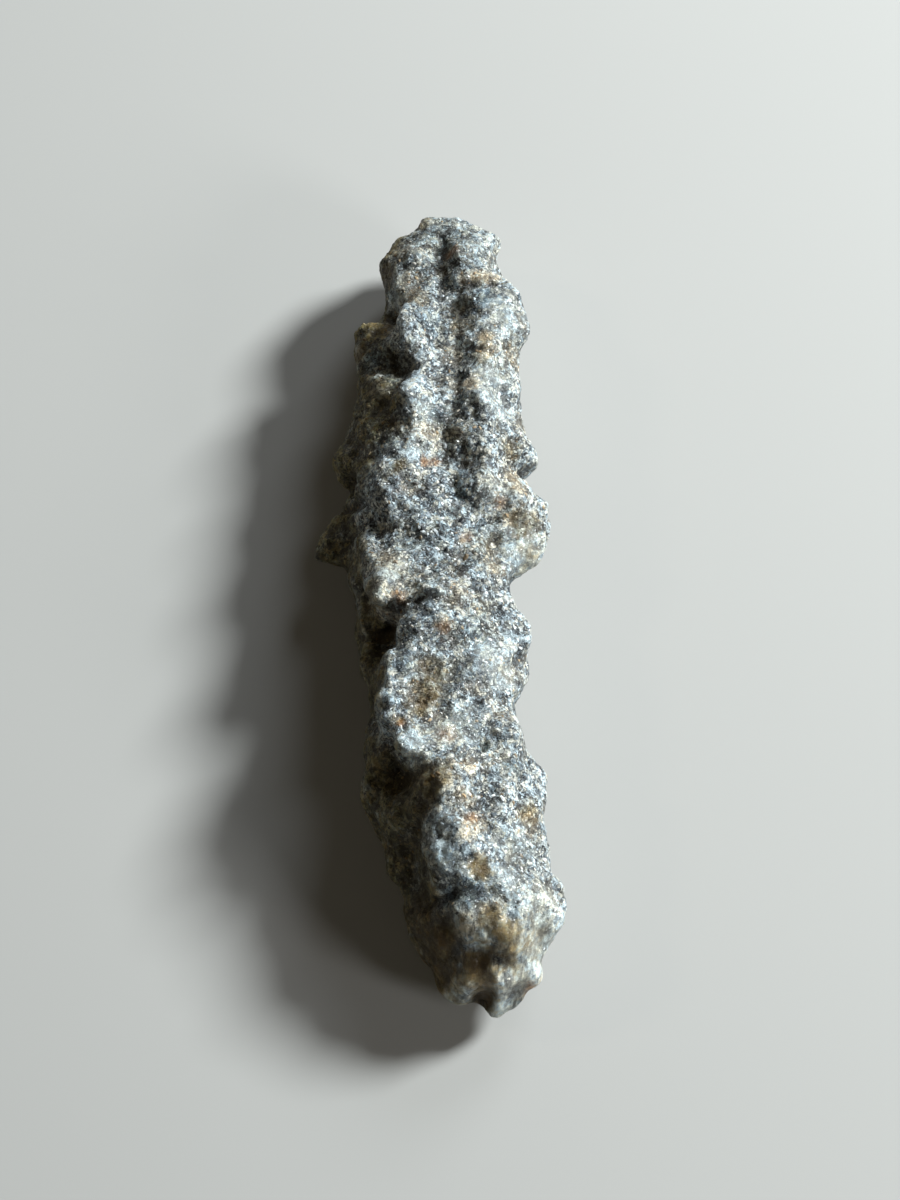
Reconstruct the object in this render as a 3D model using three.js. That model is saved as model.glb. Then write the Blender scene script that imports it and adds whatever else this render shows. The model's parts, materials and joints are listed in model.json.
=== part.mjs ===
// A fulgurite: desert sand fused by a lightning strike into one rough, finned glassy stick.
// It lies on its worn underside. Millimetres, +Z up, +Y towards the narrower far end, and the
// origin under the middle of its bounding box.
import * as THREE from "three";
import { mergeVertices } from "three/addons/utils/BufferGeometryUtils.js";
import { ImprovedNoise } from "three/addons/math/ImprovedNoise.js";

// Driving dimensions
const NEAR_Y = -28.4; // the broken near end, before its points are pulled out
const FAR_Y = 34.0; // the rounded far end
const BANDS = 104; // bands of faces from end to end
const END_BANDS = 10; // how many of them each rounded end takes
const SIDES = 46; // faces round each band
const END_ROUND = 3.0; // length of each rounded end
const SQUARENESS = 2.5; // superellipse exponent of the plain cross-section
const RELAX_BEFORE = 2; // rounds of smoothing before the stone is roughened
const RELAX_AFTER = 1; // and after it
const RELAX_SHARE = 0.3; // how far a round moves each point towards its neighbours' middle
const FLOOR_Z = 0; // the surface that the stone lies on

// The plain stick under its lumps, from near to far:
// y, left edge, right edge, where its crest line runs, height of the crest, height of the keel.
const STATIONS = [
  [-30.0, 1.8, 6.0, 3.6, 4.6, 1.4],
  [-27.0, -0.2, 7.2, 3.0, 6.6, 0.9],
  [-23.0, -2.0, 8.2, 1.8, 9.4, 0.5],
  [-18.0, -3.8, 7.6, 1.0, 10.6, 0.7],
  [-13.0, -5.4, 7.2, 0.8, 10.8, 1.1],
  [-8.0, -5.3, 5.7, 0.0, 11.0, 1.3],
  [-2.0, -6.1, 6.0, 0.4, 10.8, 1.0],
  [4.0, -6.4, 5.6, -0.6, 10.6, 0.9],
  [9.0, -6.5, 5.8, -0.4, 10.4, 1.2],
  [15.0, -6.8, 6.5, 0.4, 10.2, 1.2],
  [21.0, -6.2, 6.2, 0.8, 10.0, 0.8],
  [27.0, -4.3, 5.2, 0.6, 9.6, 0.6],
  [31.0, -4.0, 4.5, 0.2, 9.0, 0.9],
  [34.0, -3.0, 3.6, 0.2, 8.2, 2.0],
];
const [Y, LEFT, RIGHT, RIDGE, CREST, KEEL] = [0, 1, 2, 3, 4, 5];

// Lengthwise ridges and furrows: a line along the surface, how far its pull reaches, and the move.
const RIDGES = [
  { name: "left ridge, far half", reach: 2.0, by: [-0.4, 0, 1.3],
    line: [[-2.0, 24, 9.5], [-1.4, 18, 9.8], [-1.8, 13, 9.8], [-3.8, 8, 9.4]] },
  { name: "right ridge, far half", reach: 2.6, by: [0.4, 0, 1.2],
    line: [[4.4, 26, 8.8], [3.2, 20, 9.2], [3.0, 14, 9.4], [3.8, 9, 9.2]] },
  { name: "furrow, far end", reach: 1.8, by: [0, 0, -1.5],
    line: [[0.2, 25.5, 10], [0.4, 21, 10], [0.7, 18.4, 10]] },
  { name: "furrow, near end", reach: 1.5, by: [0, 0, -1.2],
    line: [[0.9, 17, 10], [1.2, 13, 10], [1.4, 8.6, 10]] },
  { name: "hollow of the far left flank", reach: 2.2, by: [0.7, 0, -0.6],
    line: [[-4.0, 24, 8.4], [-3.6, 20, 8.6], [-3.9, 17.4, 8.6]] },
  { name: "hollow of the middle left flank", reach: 2.2, by: [0.9, 0, -1.6],
    line: [[-4.9, 0, 8.6], [-4.4, -4, 8.6], [-4.7, -7, 8.2]] },
  { name: "diagonal ridge", reach: 2.8, by: [-0.4, 0, 1.2],
    line: [[0.6, 0, 10.4], [-1.4, -4, 10.4], [-2.4, -8, 10]] },
  { name: "back of the near half", reach: 2.6, by: [-0.2, 0, 1.3],
    line: [[1.0, -13.4, 10.8], [1.0, -18, 10.4], [1.8, -21, 9.6]] },
  { name: "hollow of the near left flank", reach: 3.0, by: [1.2, 0, -1.7],
    line: [[-2.9, -13.4, 8.8], [-2.3, -18, 8.4], [-0.9, -22.6, 7.2]] },
];

// Lumps, fins, notches and pits: a point near the surface, the reach in x, y and z, and the move.
// A blunt one moves almost as a block, with steep sides.
const LUMPS = [
  // far end: a rounded head with a shallow dent down its middle
  { name: "head, left lobe", at: [-3.6, 29.2, 7.2], reach: [2.2, 2.8, 3.0], by: [-0.8, 0.2, 0.9] },
  { name: "head, left point", at: [-4.6, 30.0, 5.6], reach: [1.4, 1.3, 2.0], by: [-0.5, 0, 0] },
  { name: "head, right lobe", at: [3.0, 30.8, 7.4], reach: [2.5, 2.8, 3.0], by: [0.6, 0.3, 0.9] },
  { name: "head, top knob", at: [-1.0, 33.0, 7.0], reach: [2.2, 2.2, 2.6], by: [-0.3, 0.4, 0.5] },
  { name: "head, dent", at: [0.2, 29.5, 9.6], reach: [1.5, 4.0, 2.0], by: [0, 0, -0.9] },
  { name: "step right of the head", at: [4.6, 29.2, 7.6], reach: [2.4, 0.9, 3.2], by: [-0.7, 0, -1.1] },
  { name: "step left of the head", at: [-4.2, 26.6, 7.4], reach: [2.4, 1.4, 3.0], by: [0.6, 0, -0.7] },

  // far half
  { name: "right shoulder",
    at: [4.8, 24.6, 7.6], reach: [2.8, 4.4, 3.2], by: [1.1, 0.6, 1.0], blunt: true },
  { name: "left shoulder", at: [-4.8, 22.2, 6.4], reach: [2.6, 3.6, 3.0], by: [-1.2, 0.4, 1.2] },
  { name: "saddle beside the knob", at: [-3.8, 21.4, 8.6], reach: [1.5, 2.4, 2.2], by: [-0.2, 0, 0.9] },
  { name: "left shoulder, far corner",
    at: [-6.2, 25.0, 6.4], reach: [2.0, 2.0, 3.4], by: [1.1, -0.5, -0.6] },
  { name: "left ridge, round knob",
    at: [-2.0, 21.9, 10.2], reach: [2.3, 2.2, 2.6], by: [-0.9, 0, 0.6], blunt: true },
  { name: "hollow below the knob", at: [-2.7, 19.0, 10.2], reach: [2.0, 1.2, 2.6], by: [0.7, 0, -1.4] },
  { name: "left ridge, long knob",
    at: [-1.6, 15.9, 10.2], reach: [2.1, 3.0, 2.6], by: [-0.6, 0, 0.8], blunt: true },
  { name: "left flank, small knob", at: [-4.9, 18.4, 7.0], reach: [1.5, 1.7, 1.9], by: [-0.6, 0, 0.5] },
  { name: "right ridge, knob",
    at: [3.0, 15.4, 10.0], reach: [2.2, 2.2, 2.4], by: [0, 0, 1.1], blunt: true },
  { name: "right ridge, saddle", at: [3.8, 18.6, 9.8], reach: [2.4, 1.1, 2.2], by: [-0.3, 0, -1.2] },
  { name: "right ridge, lower knob", at: [4.0, 12.2, 9.8], reach: [1.5, 1.3, 1.8], by: [0.2, 0, 0.7] },
  { name: "pit in the furrow", at: [1.7, 8.9, 9.6], reach: [1.0, 1.3, 2.2], by: [0, 0, -1.0] },
  { name: "right edge knob", at: [5.9, 13.2, 6.6], reach: [2.1, 2.0, 2.5], by: [1.5, 0, 0], blunt: true },
  { name: "notch below it", at: [6.4, 10.9, 6.6], reach: [2.2, 1.1, 3.0], by: [-1.1, 0, -0.4] },
  { name: "upper left fin", at: [-6.2, 13.4, 4.6], reach: [2.6, 3.8, 2.2], by: [-2.3, -0.9, -0.2] },
  { name: "notch between the fins", at: [-6.8, 11.2, 4.8], reach: [2.4, 0.9, 3.0], by: [1.9, 0.3, 0] },

  // middle
  { name: "lower left fin", at: [-6.3, 7.6, 4.2], reach: [2.7, 4.2, 2.4], by: [-3.0, -1.0, 0] },
  { name: "lower left fin, upper edge", at: [-7.2, 7.6, 4.2], reach: [2.0, 2.4, 2.0], by: [-0.8, 0.5, 0] },
  { name: "lower left fin, tip", at: [-8.6, 6.2, 4.2], reach: [2.4, 2.2, 2.0], by: [-1.4, -0.8, -0.2] },
  { name: "right block", at: [5.7, 7.0, 6.6], reach: [2.7, 4.3, 3.0], by: [2.8, 0.2, 0.7], blunt: true },
  { name: "right block, far corner", at: [8.0, 8.0, 7.0], reach: [1.7, 1.8, 2.4], by: [0.6, 0.6, 0.2] },
  { name: "right block, near corner", at: [7.8, 3.8, 6.2], reach: [1.9, 1.8, 2.6], by: [1.2, -0.8, 0.3] },
  { name: "step beside the right block", at: [4.6, 10.6, 9.0], reach: [2.0, 1.2, 2.4], by: [0, 0, -1.0] },
  { name: "gutter beside the right block", at: [4.4, 6.6, 9.8], reach: [1.1, 2.8, 2.0], by: [0, 0, -0.9] },
  { name: "notch below the right block", at: [6.2, 2.3, 6.4], reach: [2.4, 1.3, 3.2], by: [-1.0, 0, 0] },
  { name: "left corner of the broad face",
    at: [-5.0, 9.6, 8.4], reach: [2.0, 2.6, 2.6], by: [-0.6, 0.4, 1.1] },
  { name: "hanging left knob",
    at: [-3.5, 2.4, 9.4], reach: [2.4, 2.6, 2.6], by: [-0.9, -2.6, 1.1], blunt: true },
  { name: "undercut below the knob", at: [-3.7, -2.6, 8.8], reach: [2.2, 1.4, 2.6], by: [0.8, 0.4, -1.8] },
  { name: "hollow above the knob", at: [-4.9, 6.0, 8.6], reach: [1.3, 1.5, 2.0], by: [0.5, 0, -0.9] },

  // near half
  { name: "right edge ridge",
    at: [5.9, -2.4, 6.8], reach: [2.2, 4.4, 3.0], by: [0.7, 0, 0.5], blunt: true },
  { name: "slanting hollow, far part", at: [0.0, -6.4, 11.0], reach: [1.4, 2.2, 2.2], by: [0.1, 0, -1.0] },
  { name: "slanting hollow, near part", at: [-1.0, -8.6, 11.0], reach: [1.4, 2.0, 2.2], by: [0, 0, -1.3] },
  { name: "upper lip", at: [-3.2, -7.8, 9.8], reach: [1.6, 2.3, 2.6], by: [-1.0, -1.9, 1.1], blunt: true },
  { name: "lower lip",
    at: [-1.3, -10.4, 10.6], reach: [2.5, 1.8, 2.4], by: [-0.6, -1.9, 1.1], blunt: true },
  { name: "undercut below the lips", at: [-3.0, -14.0, 8.8], reach: [2.6, 1.7, 2.8], by: [0.7, 1.1, -1.7] },
  { name: "notch on the right edge", at: [6.2, -8.0, 6.0], reach: [2.2, 1.3, 3.2], by: [-0.6, 0, 0] },
  { name: "long knob below the lips", at: [-1.9, -15.4, 7.6], reach: [1.5, 2.6, 2.2], by: [-0.6, 0, 0.9] },
  { name: "dark left knob",
    at: [-5.0, -13.2, 4.6], reach: [2.2, 2.6, 2.6], by: [-0.4, 0, 0.7], blunt: true },
  { name: "left flank, bulge behind the knob",
    at: [-5.4, 1.6, 3.8], reach: [2.0, 2.6, 2.2], by: [-0.5, 0, 0] },
  { name: "left flank, bulge", at: [-4.9, -15.2, 3.4], reach: [2.3, 3.2, 2.4], by: [-0.6, -0.2, 0] },
  { name: "left flank, lower knob", at: [-3.9, -19.0, 4.2], reach: [2.1, 2.6, 2.4], by: [-0.7, 0, 0.5] },
  { name: "right edge, broad knob",
    at: [6.9, -14.4, 5.8], reach: [2.3, 3.4, 3.0], by: [0.5, -0.2, 0.2], blunt: true },
  { name: "right edge, small knob", at: [7.0, -17.4, 5.4], reach: [1.9, 1.8, 2.2], by: [1.0, 0, 0.2] },
  { name: "right edge, big lobe",
    at: [7.6, -22.6, 5.4], reach: [2.7, 3.2, 3.2], by: [1.4, -0.2, 0.5], blunt: true },
  { name: "swell beside the big lobe",
    at: [5.2, -24.0, 7.4], reach: [2.4, 2.8, 2.8], by: [0.4, -0.5, 1.0] },

  // near end: a broken face that slopes down to three points
  { name: "slope of the near face", at: [3.8, -26.9, 3.8], reach: [4.4, 3.2, 4.4], by: [0.1, -1.3, 0.6] },
  { name: "drooping knob", at: [2.6, -24.6, 7.6], reach: [2.2, 2.6, 2.6], by: [0, -0.2, 0.6] },
  { name: "swell right of it", at: [4.3, -25.0, 8.2], reach: [1.8, 1.8, 2.4], by: [0.1, -0.3, 0.9] },
  { name: "middle point", at: [4.5, -28.4, 2.6], reach: [1.7, 1.7, 2.4], by: [0, -1.35, -0.3] },
  { name: "left point", at: [0.8, -27.0, 2.8], reach: [2.2, 2.0, 2.4], by: [-0.2, -1.85, 0] },
  { name: "left point, broad foot", at: [2.2, -27.9, 2.4], reach: [1.6, 1.6, 2.2], by: [0, -0.6, 0] },
  { name: "right point", at: [6.3, -26.6, 4.4], reach: [2.2, 2.3, 3.0], by: [0.5, -1.0, 0.8] },
  { name: "left flank, last knob", at: [-2.0, -24.6, 3.6], reach: [2.0, 2.8, 2.4], by: [-0.7, 0, 0.5] },
  { name: "furrow down the near face", at: [3.2, -28.4, 4.6], reach: [1.2, 2.2, 2.6], by: [0, 0.5, -0.5] },

  // right flank and underside: low fins, and the feet that it lies on
  { name: "right fin, far", at: [5.4, 17.6, 3.0], reach: [2.4, 4.0, 2.0], by: [0.9, 0.4, -0.5] },
  { name: "right fin, middle", at: [5.4, -5.0, 2.8], reach: [2.4, 3.6, 1.8], by: [1.1, -0.8, -0.5] },
  { name: "right fin, near", at: [6.8, -17.6, 2.6], reach: [2.4, 2.8, 1.8], by: [0.8, 0.4, -0.6] },
  { name: "dent above the right fins", at: [7.0, -8.6, 4.6], reach: [2.4, 2.6, 1.8], by: [-0.8, 0, 0] },
  { name: "dent in the right flank", at: [6.8, 20.6, 4.6], reach: [2.2, 2.4, 1.7], by: [-0.8, 0, 0] },
  { name: "left low fin, far", at: [-4.6, 18.4, 2.0], reach: [2.2, 3.2, 1.6], by: [-0.7, 0, -0.3] },
  { name: "left low fin, near", at: [-4.4, -5.6, 2.0], reach: [2.2, 3.4, 1.6], by: [-0.6, -0.5, -0.3] },
  { name: "near right foot", at: [4.8, -23.0, 0.6], reach: [2.8, 3.4, 2.4], by: [0, 0, -1.5], blunt: true },
  { name: "near left foot",
    at: [-1.4, -17.4, 0.8], reach: [2.4, 2.8, 2.4], by: [-0.4, 0, -1.9], blunt: true },
  { name: "middle right foot",
    at: [3.4, -4.6, 1.0], reach: [2.2, 2.6, 2.4], by: [0, 0, -1.9], blunt: true },
  { name: "middle left foot", at: [-3.2, 3.6, 1.0], reach: [2.2, 2.8, 2.4], by: [0, 0, -1.9], blunt: true },
  { name: "far right foot", at: [3.2, 16.2, 1.0], reach: [2.6, 3.4, 2.4], by: [0, 0, -2.3], blunt: true },
  { name: "far left foot", at: [-2.2, 24.0, 0.8], reach: [2.4, 3.0, 2.4], by: [0, 0, -1.7], blunt: true },
];

// Smooth value of one column of STATIONS at a place along the stick (cubic Hermite).
function along(y, column) {
  const last = STATIONS.length - 1;
  const slope = (i) => {
    const [a, b] = [Math.max(i - 1, 0), Math.min(i + 1, last)];
    return (STATIONS[b][column] - STATIONS[a][column]) / (STATIONS[b][Y] - STATIONS[a][Y]);
  };
  let i = 0;
  while (i < last - 1 && y > STATIONS[i + 1][Y]) i += 1;
  const span = STATIONS[i + 1][Y] - STATIONS[i][Y];
  const t = THREE.MathUtils.clamp((y - STATIONS[i][Y]) / span, 0, 1);
  return (
    (1 + 2 * t) * (1 - t) ** 2 * STATIONS[i][column] +
    t * (1 - t) ** 2 * span * slope(i) +
    t * t * (3 - 2 * t) * STATIONS[i + 1][column] -
    t * t * (1 - t) * span * slope(i + 1)
  );
}

// Where a ring of vertices lies along the stick, and how far it has opened out from the pole.
function ringAt(ring) {
  const fromNear = Math.min(ring, BANDS - ring) / END_BANDS;
  if (fromNear >= 1) {
    const t = (ring - END_BANDS) / (BANDS - 2 * END_BANDS);
    return { y: THREE.MathUtils.lerp(NEAR_Y + END_ROUND, FAR_Y - END_ROUND, t), opening: 1 };
  }
  const turn = (fromNear * Math.PI) / 2;
  const inset = END_ROUND * (1 - Math.cos(turn));
  return { y: ring < END_BANDS ? NEAR_Y + inset : FAR_Y - inset, opening: Math.sin(turn) };
}

// A closed ball of BANDS by SIDES, drawn out along Y into the plain stick.
function plainStick() {
  const ball = new THREE.SphereGeometry(1, SIDES, BANDS);
  ball.deleteAttribute("normal");
  ball.deleteAttribute("uv");
  const stick = mergeVertices(ball, 1e-4);
  const place = stick.getAttribute("position");
  const p = new THREE.Vector3();
  for (let i = 0; i < place.count; i += 1) {
    p.fromBufferAttribute(place, i);
    const ring = Math.round((Math.acos(THREE.MathUtils.clamp(-p.y, -1, 1)) / Math.PI) * BANDS);
    const { y, opening } = ringAt(ring);
    const turn = Math.atan2(p.z, p.x);
    const [c, s] = [Math.cos(turn), Math.sin(turn)];
    const power = 2 / SQUARENESS;
    const across = Math.sign(c) * Math.abs(c) ** power;
    const up = Math.sign(s) * Math.abs(s) ** power;
    const [left, right] = [along(y, LEFT), along(y, RIGHT)];
    const [crest, keel] = [along(y, CREST), along(y, KEEL)];
    const middle = (left + right) / 2;
    const lean = (along(y, RIDGE) - middle) * Math.max(0, up) ** 2;
    place.setXYZ(
      i,
      middle + opening * ((across * (right - left)) / 2 + lean),
      y,
      (crest + keel) / 2 + (opening * up * (crest - keel)) / 2,
    );
  }
  return stick;
}

// How strongly a pull holds at a share of its reach: all at the middle, nothing past the rim.
const hold = (share, blunt) => (share < 1 ? (1 - share ** (blunt ? 4 : 2)) ** 2 : 0);

function raiseRidges(geometry) {
  const place = geometry.getAttribute("position");
  const [p, near, move] = [new THREE.Vector3(), new THREE.Vector3(), new THREE.Vector3()];
  for (const ridge of RIDGES) {
    const points = ridge.line.map((xyz) => new THREE.Vector3(...xyz));
    for (let i = 0; i < place.count; i += 1) {
      p.fromBufferAttribute(place, i);
      let gap = Infinity;
      for (let k = 1; k < points.length; k += 1) {
        new THREE.Line3(points[k - 1], points[k]).closestPointToPoint(p, true, near);
        gap = Math.min(gap, near.distanceTo(p));
      }
      move.set(...ridge.by).multiplyScalar(hold(gap / ridge.reach));
      p.add(move);
      place.setXYZ(i, p.x, p.y, p.z);
    }
  }
}

function pullLumps(geometry) {
  const place = geometry.getAttribute("position");
  const [p, off] = [new THREE.Vector3(), new THREE.Vector3()];
  for (const lump of LUMPS) {
    const [at, reach] = [new THREE.Vector3(...lump.at), new THREE.Vector3(...lump.reach)];
    const by = new THREE.Vector3(...lump.by);
    for (let i = 0; i < place.count; i += 1) {
      p.fromBufferAttribute(place, i);
      off.subVectors(p, at).divide(reach);
      p.addScaledVector(by, hold(off.length(), lump.blunt));
      place.setXYZ(i, p.x, p.y, p.z);
    }
  }
}

// Evens out the mesh where a pull has stretched it: each point moves towards its neighbours' middle.
function relax(geometry, rounds) {
  const [place, index] = [geometry.getAttribute("position"), geometry.getIndex()];
  const beside = Array.from({ length: place.count }, () => new Set());
  for (let i = 0; i < index.count; i += 3) {
    const corners = [index.getX(i), index.getX(i + 1), index.getX(i + 2)];
    corners.forEach((corner) => corners.forEach((other) => beside[corner].add(other)));
  }
  const p = new THREE.Vector3();
  for (let round = 0; round < rounds; round += 1) {
    const before = place.clone();
    for (let i = 0; i < place.count; i += 1) {
      const middle = new THREE.Vector3();
      beside[i].forEach((other) => middle.add(p.fromBufferAttribute(before, other)));
      middle.divideScalar(beside[i].size);
      p.fromBufferAttribute(before, i).lerp(middle, RELAX_SHARE);
      place.setXYZ(i, p.x, p.y, p.z);
    }
  }
}

// Knobs of fused sand all over, along the normals.
function roughen(geometry) {
  geometry.computeVertexNormals();
  const [place, normal] = [geometry.getAttribute("position"), geometry.getAttribute("normal")];
  const noise = new ImprovedNoise();
  const [p, n] = [new THREE.Vector3(), new THREE.Vector3()];
  for (let i = 0; i < place.count; i += 1) {
    p.fromBufferAttribute(place, i);
    n.fromBufferAttribute(normal, i);
    let lift = 0;
    for (const { size, height, seed } of KNOBS) {
      const wave = noise.noise(p.x / size + seed, p.y / size, p.z / size);
      lift += height * (2 * Math.abs(wave) - AVERAGE_WAVE);
    }
    p.addScaledVector(n, lift);
    place.setXYZ(i, p.x, p.y, p.z);
  }
}
const AVERAGE_WAVE = 0.45;
const KNOBS = [
  { size: 3.6, height: 0.8, seed: 3.1 },
  { size: 1.9, height: 0.5, seed: 17.7 },
];

// Worn flat patches: what would reach below the floor is pressed level with it.
function wearUnderside(geometry) {
  const place = geometry.getAttribute("position");
  for (let i = 0; i < place.count; i += 1) place.setZ(i, Math.max(place.getZ(i), FLOOR_Z));
}

// The origin goes under the middle of the bounding box, level with the worn patches.
function centre(geometry) {
  geometry.computeBoundingBox();
  const middle = geometry.boundingBox.getCenter(new THREE.Vector3());
  geometry.translate(-middle.x, -middle.y, -geometry.boundingBox.min.z);
}

function fulgurite() {
  const geometry = plainStick();
  raiseRidges(geometry);
  pullLumps(geometry);
  relax(geometry, RELAX_BEFORE);
  roughen(geometry);
  relax(geometry, RELAX_AFTER);
  wearUnderside(geometry);
  centre(geometry);
  geometry.computeVertexNormals();
  const fusedSand = new THREE.MeshStandardMaterial({
    name: "fused_sand",
    color: new THREE.Color(0.47, 0.46, 0.43),
    roughness: 0.62,
    metalness: 0,
  });
  const mesh = new THREE.Mesh(geometry, fusedSand);
  mesh.name = "fulgurite";
  return mesh;
}

const part = new THREE.Group();
part.add(fulgurite());

export default part;
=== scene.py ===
import json
import math
import random

import bpy
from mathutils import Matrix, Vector, noise

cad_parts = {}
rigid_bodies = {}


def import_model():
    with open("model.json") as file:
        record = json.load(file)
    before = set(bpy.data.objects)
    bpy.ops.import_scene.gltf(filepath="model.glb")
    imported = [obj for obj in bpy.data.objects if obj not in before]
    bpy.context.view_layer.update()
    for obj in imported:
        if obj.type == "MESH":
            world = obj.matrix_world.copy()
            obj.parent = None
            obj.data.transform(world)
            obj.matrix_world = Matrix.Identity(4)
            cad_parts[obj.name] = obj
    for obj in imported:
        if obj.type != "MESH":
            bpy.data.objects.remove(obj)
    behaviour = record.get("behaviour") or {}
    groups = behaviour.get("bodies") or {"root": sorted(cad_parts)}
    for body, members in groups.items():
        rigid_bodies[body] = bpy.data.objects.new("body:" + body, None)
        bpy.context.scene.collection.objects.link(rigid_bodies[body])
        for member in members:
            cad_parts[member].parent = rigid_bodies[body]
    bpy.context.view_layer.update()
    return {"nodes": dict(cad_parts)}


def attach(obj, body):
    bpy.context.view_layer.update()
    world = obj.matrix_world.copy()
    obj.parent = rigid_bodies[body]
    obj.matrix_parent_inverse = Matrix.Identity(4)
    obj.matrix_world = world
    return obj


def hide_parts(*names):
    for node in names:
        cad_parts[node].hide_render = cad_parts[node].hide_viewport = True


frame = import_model()
MM = 0.001

# Driving sizes, in metres
WELD = 0.005 * MM  # points of the solid's mesh that are nearer than this are one point
SKIN_STEP = 0.40 * MM  # spacing of the even mesh that the skin is made from, before it is divided once
GRAIN_GAP = 0.27 * MM  # the least distance between two grains' middles
GRAIN_SIZE = 0.165 * MM  # radius of an average grain
GRAIN_SUNK = 0.45  # how deep a grain's middle sits below the skin, as a share of its radius
GRAIN_FLATNESS = 0.8  # a grain's height, as a share of its width
GRAIN_LENGTHS = (0.85, 1.45)  # the least and the most of a grain's length, as a share of its width
GRAIN_TILT = 0.7  # how far a grain may lean from the skin, in radians
GRAIN_SHAPES = 6  # how many differently chipped grains there are to choose from
MAP_SIDE = 80  # grains along one side of the grains' texture map
MAP_MARGIN = 0.05  # the empty edge round each grain in that map, as a share of its place

# Seeds of the random draws; each kind of grain adds its number to the last four
SOWING_SEED = 4
CHOOSING_SEED = 11
SPIN_SEED = 0
TILT_SEED = 20
SHAPE_SEED = 50
LENGTH_SEED = 70

# Relief of the skin, coarse to fine: name, texture, size of a bump, height. Where the glass ran smooth
# it keeps only the share of the relief that MELT_KEEPS says.
RELIEF = [
    ("knobs", "VORONOI", 1.9 * MM, -0.26 * MM),
    ("swells", "CLOUDS", 0.95 * MM, 0.40 * MM),
    ("pocks", "VORONOI", 0.70 * MM, -0.20 * MM),
    ("crumbs", "CLOUDS", 0.40 * MM, 0.20 * MM),
]
MELT_KEEPS = 0.35

# How hollow the skin is, on two scales: rounds of smoothing, and the depth that counts as fully hollow
BROAD_HOLLOWS = dict(rounds=160, depth=0.90 * MM)
FINE_HOLLOWS = dict(rounds=8, depth=0.10 * MM)

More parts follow.
